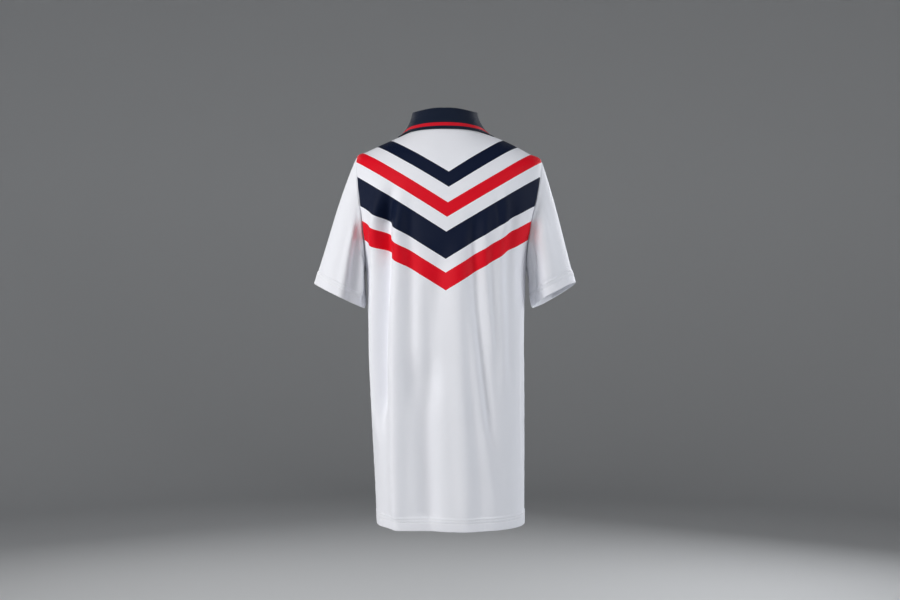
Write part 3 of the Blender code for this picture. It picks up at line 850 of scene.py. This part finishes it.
def collar_piece():
    middle = np.array([collar_profile(*station) for station in collar_stations()])
    normals = outward_normals(middle, 1, False)
    along = lengths_along(middle[:, STAND_STEPS])[:, None] + np.zeros(middle.shape[1])
    from_edge = lengths_along(np.swapaxes(middle, 0, 1)[::-1])[::-1].T
    leaf = smooth_step(1 - from_edge / from_edge[:, STAND_STEPS + FOLD_STEPS][:, None])
    wave = noise_at(along / LEAF_WAVE_PITCH, from_edge / LEAF_WAVE_PITCH, 0 * along)
    middle = middle + (LEAF_WAVE * leaf * (1 + wave))[..., None] * normals
    outer = np.swapaxes(middle + normals * RIB / 2, 0, 1)
    inner = np.swapaxes(middle - normals * RIB / 2, 0, 1)
    cut = np.swapaxes(np.stack([along, from_edge], axis=-1), 0, 1)
    finish = rib_material()
    return closed_shell("rib_collar", outer, inner, -1, False, {"cut": cut}, [finish])


# ---- materials


def give(node, values):
    for name, value in values.items():
        node.inputs[name].default_value = value


class Nodes:
    """A new material, with short ways to add nodes to it."""

    def __init__(self, name):
        self.made = bpy.data.materials.new(name)
        self.made.use_nodes = True
        self.tree = self.made.node_tree
        self.shader = self.tree.nodes["Principled BSDF"]

    def add(self, kind, **settings):
        node = self.tree.nodes.new(kind)
        for key, value in settings.items():
            setattr(node, key, value)
        return node

    def link(self, source, target):
        self.tree.links.new(source, target)

    def feed(self, target, value):
        if isinstance(value, bpy.types.NodeSocket):
            self.link(value, target)
        else:
            target.default_value = value

    def math(self, operation, *values):
        node = self.add("ShaderNodeMath", operation=operation)
        for target, value in zip(node.inputs, values):
            self.feed(target, value)
        return node.outputs[0]

    def place(self, map_name):
        """The two coordinates of a UV map, in metres."""
        layer = self.add("ShaderNodeUVMap", uv_map=map_name)
        parts = self.add("ShaderNodeSeparateXYZ")
        self.link(layer.outputs["UV"], parts.inputs[0])
        return parts.outputs["X"], parts.outputs["Y"]

    def noise(self, scale, detail):
        """Soft noise between 0 and 1 over the object's own space."""
        space = self.add("ShaderNodeTexCoord")
        node = self.add("ShaderNodeTexNoise")
        self.link(space.outputs["Object"], node.inputs["Vector"])
        give(node, {"Scale": scale, "Detail": detail})
        return node.outputs["Fac"]

    def bump(self, height, distance, strength, under=None):
        node = self.add("ShaderNodeBump")
        self.link(height, node.inputs["Height"])
        give(node, {"Distance": distance, "Strength": strength})
        if under is not None:
            self.link(under, node.inputs["Normal"])
        return node.outputs["Normal"]

    def mix(self, factor, first, second, blend="MIX"):
        node = self.add("ShaderNodeMix", data_type="RGBA", blend_type=blend)
        for place, value in zip(MIX_INPUTS, (factor, first, second)):
            self.feed(node.inputs[place], value)
        return node.outputs[MIX_RESULT]

    def grey(self, shade):
        node = self.add("ShaderNodeCombineColor")
        for target in node.inputs:
            self.link(shade, target)
        return node.outputs[0]

    def columns(self, across, pitch, painted_shade):
        """Round columns of knit: the way from a column's middle, the height there, and painted shade that
        darkens the colour between the columns.
        """
        within = self.math("FRACT", self.math("MULTIPLY", across, 1 / pitch))
        from_middle = self.math("ABSOLUTE", self.math("SUBTRACT", within, 0.5))
        height = self.math("COSINE", self.math("MULTIPLY", from_middle, 2 * math.pi))
        square = self.math("MULTIPLY", from_middle, from_middle)
        return from_middle, height, self.math("MULTIPLY_ADD", square, -painted_shade, 1.0)

    def cloth(self, colour, shade, relief, rough_from, rough_spread):
        """The shader's colour, darkened by the painted shade between columns (on the knit also by faint
        random patches), its relief and its uneven roughness.
        """
        self.link(self.mix(1.0, colour, self.grey(shade), "MULTIPLY"), self.shader.inputs["Base Color"])
        self.link(relief, self.shader.inputs["Normal"])
        rough = self.math("MULTIPLY_ADD", self.noise(scale=60.0, detail=2.0), rough_spread, rough_from)
        self.link(rough, self.shader.inputs["Roughness"])

    def steps(self, value, stops):
        """Colours that change at once at each stop's place, from 0 to 1."""
        node = self.add("ShaderNodeValToRGB")
        ramp = node.color_ramp
        ramp.interpolation = "CONSTANT"
        ramp.elements[0].position, ramp.elements[0].color = stops[0]
        ramp.elements[1].position, ramp.elements[1].color = stops[-1]
        for position, colour in stops[1:-1]:
            ramp.elements.new(position).color = colour
        self.link(value, node.inputs["Fac"])
        return node.outputs["Color"]


def band_stops():
    """The printed bands as stops of a ramp that runs from the print's bottom to its top."""
    stops = [(0.0, WHITE)]
    for band in reversed(BANDS):
        stops.append(((band.top - band.depth - PRINT_BOTTOM) / PRINT_SPAN, band.colour))
        stops.append(((band.top - PRINT_BOTTOM) / PRINT_SPAN, WHITE))
    return stops


def knit_material(name, printed):
    """Fine polyester knit: columns of small V stitches with painted shade between them, a faint sheen and, if
    printed, the chevrons.
    """
    nodes = Nodes(name)
    across, down = nodes.place("cut")
    # grooves is painted shade: the colour is made darker between the knit's columns.
    from_middle, columns, grooves = nodes.columns(across, WALE, KNIT_PAINTED_GROOVE_SHADE)
    slanted = nodes.math("MULTIPLY_ADD", from_middle, LOOP_SLANT, nodes.math("MULTIPLY", down, 1 / COURSE))
    loops = nodes.math("SINE", nodes.math("MULTIPLY", slanted, 2 * math.pi))
    height = nodes.math("MULTIPLY_ADD", loops, KNIT_ROWS, columns)
    mottle = nodes.bump(nodes.noise(scale=34.0, detail=3.0), distance=0.0012, strength=0.35)
    relief = nodes.bump(height, distance=0.00010, strength=0.5, under=mottle)
    ground = WHITE
    if printed:
        x, z = nodes.place("print")
        rising = nodes.math("MULTIPLY", nodes.math("ABSOLUTE", x), CHEVRON_SLOPE)
        above = nodes.math("SUBTRACT", nodes.math("SUBTRACT", z, rising), PRINT_BOTTOM)
        ground = nodes.steps(nodes.math("MULTIPLY", above, 1 / PRINT_SPAN), band_stops())
    least, more = KNIT_SHADE
    patches = nodes.math("MULTIPLY_ADD", nodes.noise(scale=9.0, detail=4.0), more, least)
    # Painted shade between the columns, times faint patches of tone at random.
    shade = nodes.math("MULTIPLY", grooves, patches)
    nodes.cloth(ground, shade, relief, rough_from=0.52, rough_spread=0.12)
    give(nodes.shader, {"Sheen Weight": 0.02, "Sheen Roughness": 0.45, "Specular IOR Level": 0.16})
    return nodes.made


def rib_material():
    """Flat-knitted rib: fine ridges from the neck to the edge with painted shade between them, navy with one
    red stripe.
    """
    nodes = Nodes("collar_rib")
    along, from_edge = nodes.place("cut")
    # grooves is painted shade: the colour is made darker between the rib's ridges.
    _, ridges, grooves = nodes.columns(along, RIB_PITCH, RIB_PAINTED_GROOVE_SHADE)
    courses = nodes.math("SINE", nodes.math("MULTIPLY", from_edge, 2 * math.pi / COURSE))
    height = nodes.math("MULTIPLY_ADD", courses, RIB_ROWS, ridges)
    relief = nodes.bump(height, distance=0.00018, strength=0.6)
    above = nodes.math("GREATER_THAN", from_edge, STRIPE_START)
    below = nodes.math("LESS_THAN", from_edge, STRIPE_START + STRIPE_WIDTH)
    ground = nodes.mix(nodes.math("MULTIPLY", above, below), RIB_NAVY, RIB_RED)
    nodes.cloth(ground, grooves, relief, rough_from=0.68, rough_spread=0.15)
    give(nodes.shader, {"Sheen Weight": 0.10, "Sheen Roughness": 0.5, "Specular IOR Level": 0.18})
    return nodes.made


def thread_material():
    nodes = Nodes("white_thread")
    twist = nodes.noise(scale=2500.0, detail=1.0)
    relief = nodes.bump(twist, distance=0.00008, strength=0.4)
    nodes.link(relief, nodes.shader.inputs["Normal"])
    least, more = THREAD_SHADE
    shade = nodes.math("MULTIPLY_ADD", twist, more, least)
    nodes.link(nodes.grey(shade), nodes.shader.inputs["Base Color"])
    give(nodes.shader, {"Roughness": 0.45, "Sheen Weight": 0.2})
    return nodes.made


# ---- pieces


PIECES = {
    "back": "back_panel",
    "front": "front_panel",
    "sleeve_left": "left_sleeve",
    "sleeve_right": "right_sleeve",
}


def cloth_pieces():
    """Panels and sleeves with their hem stitches, by the name of the node that each stands for."""
    skins = {"back": panel_skin("back"), "front": panel_skin("front")}
    for cuff in CUFFS:
        loop = armhole_loop(skins["back"].points, skins["front"].points, 0 if cuff.side > 0 else -1)
        skins[sleeve_name(cuff)] = sleeve_skin(cuff, loop)
    skins = folded_skins(skins)
    normals = joined_normals(skins)
    printed = knit_material("printed_knit", True)
    plain = knit_material("plain_knit", False)
    thread = thread_material()
    made = {}
    for name, skin in skins.items():
        outer, inner = shell_faces(skin, normals[name])
        maps = {"cut": np.stack([skin.across, skin.down], axis=-1)}
        finishes = [plain]
        if not skin.ring:
            maps["print"] = skin.print
            finishes = [printed, plain]
        cloth = closed_shell(PIECES[name], outer, inner, skin.facing, skin.ring, maps, finishes)
        rows = [-1 - HEM_STEPS.index(distance) for distance in STITCH_ROWS]
        lines = [outer[row] for row in rows]
        outward = [normals[name][row] for row in rows]
        sewn = stitches(PIECES[name] + "_stitches", lines, outward, skin.ring, thread)
        made[name] = (cloth, sewn)
    return made


# ---- studio


def studio():
    """A round pale floor that bends up into a wall, so that every view has the same plain ground."""
    profile = [(0.0, FLOOR_Z), (STUDIO_RADIUS - STUDIO_BEND, FLOOR_Z)]
    for step in range(1, BEND_STEPS + 1):
        turn = math.pi / 2 * step / BEND_STEPS
        reach = STUDIO_RADIUS - STUDIO_BEND + STUDIO_BEND * math.sin(turn)
        profile.append((reach, FLOOR_Z + STUDIO_BEND * (1 - math.cos(turn))))
    profile.append((STUDIO_RADIUS, FLOOR_Z + STUDIO_HEIGHT))
    points = []
    for reach, z in profile:
        for k in range(STUDIO_SEGMENTS):
            turn = 2 * math.pi * k / STUDIO_SEGMENTS
            points.append((reach * math.cos(turn), reach * math.sin(turn), z))
    data = bpy.data.meshes.new("studio_floor")
    data.from_pydata(points, [], tube(np.arange(len(points)).reshape(-1, STUDIO_SEGMENTS)))
    data.shade_smooth()
    paint = Nodes("studio_paint")
    give(paint.shader, {"Base Color": STUDIO_PAINT, "Roughness": 0.9})
    data.materials.append(paint.made)
    add_object("studio_floor", data)


# Soft round lamps: degrees from the way the back faces towards the wearer's left, distance and height from
# the origin, width, watts and colour.
Lamp = collections.namedtuple("Lamp", "name turn reach height size power colour")
LAMPS = (
    Lamp("key", 54, 2.4, 0.35, 0.9, 41.5, (1.0, 0.99, 0.98)),
    Lamp("right_side", -72, 2.3, 0.25, 1.3, 26.0, (0.95, 0.97, 1.0)),
    Lamp("front", 10, 3.1, 0.80, 1.8, 11.0, (0.98, 0.99, 1.0)),
    Lamp("top", 0, 0.4, 2.30, 1.8, 7.0, (1.0, 1.0, 1.0)),
    Lamp("left_rim", 150, 2.4, 0.35, 1.1, 10.0, (1.0, 1.0, 1.0)),
    Lamp("right_rim", -145, 2.4, 0.30, 1.1, 22.0, (0.97, 0.98, 1.0)),
)
LAMP_AIM = (0.0, 0.0, -0.35)
AIR_COLOUR = (0.90, 0.93, 1.0, 1.0)
AIR_LIGHT = 0.04


def lights():
    for lamp in LAMPS:
        data = bpy.data.lights.new(lamp.name, "AREA")
        data.shape = "DISK"
        data.size = lamp.size
        data.energy = lamp.power
        data.color = lamp.colour
        turn = math.radians(lamp.turn)
        place = Vector((lamp.reach * math.sin(turn), lamp.reach * math.cos(turn), lamp.height))
        made = add_object(lamp.name, data)
        made.location = place
        made.rotation_euler = (Vector(LAMP_AIM) - place).to_track_quat("-Z", "Y").to_euler()
        made.visible_camera = False
    world = bpy.data.worlds.new("studio_air")
    world.use_nodes = True
    give(world.node_tree.nodes["Background"], {"Color": AIR_COLOUR, "Strength": AIR_LIGHT})
    bpy.context.scene.world = world
    bpy.context.scene.view_settings.view_transform = "Standard"


def camera():
    data = bpy.data.cameras.new("camera")
    data.sensor_width = SENSOR_WIDTH
    data.lens = LENS
    made = add_object("camera", data)
    made.location = CAMERA_PLACE
    made.rotation_euler = (math.radians(90), 0.0, math.radians(180))
    bpy.context.scene.camera = made


# ---- the scene


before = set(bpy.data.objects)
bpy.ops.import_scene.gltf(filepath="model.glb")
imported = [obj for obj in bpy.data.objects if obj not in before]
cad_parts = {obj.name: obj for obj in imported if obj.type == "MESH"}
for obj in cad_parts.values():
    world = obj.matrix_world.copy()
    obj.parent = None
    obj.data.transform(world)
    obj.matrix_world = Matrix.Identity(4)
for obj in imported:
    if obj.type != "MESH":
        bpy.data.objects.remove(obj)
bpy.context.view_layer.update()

camera()
studio()
lights()

# The panels and sleeves with their stitches, each in place of the node it stands for, which is hidden.
for node, (cloth, sewn) in cloth_pieces().items():
    for piece in (cloth, sewn):
        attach(piece, "root")
    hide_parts(node)

collar = collar_piece()
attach(collar, "root")
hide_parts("collar")
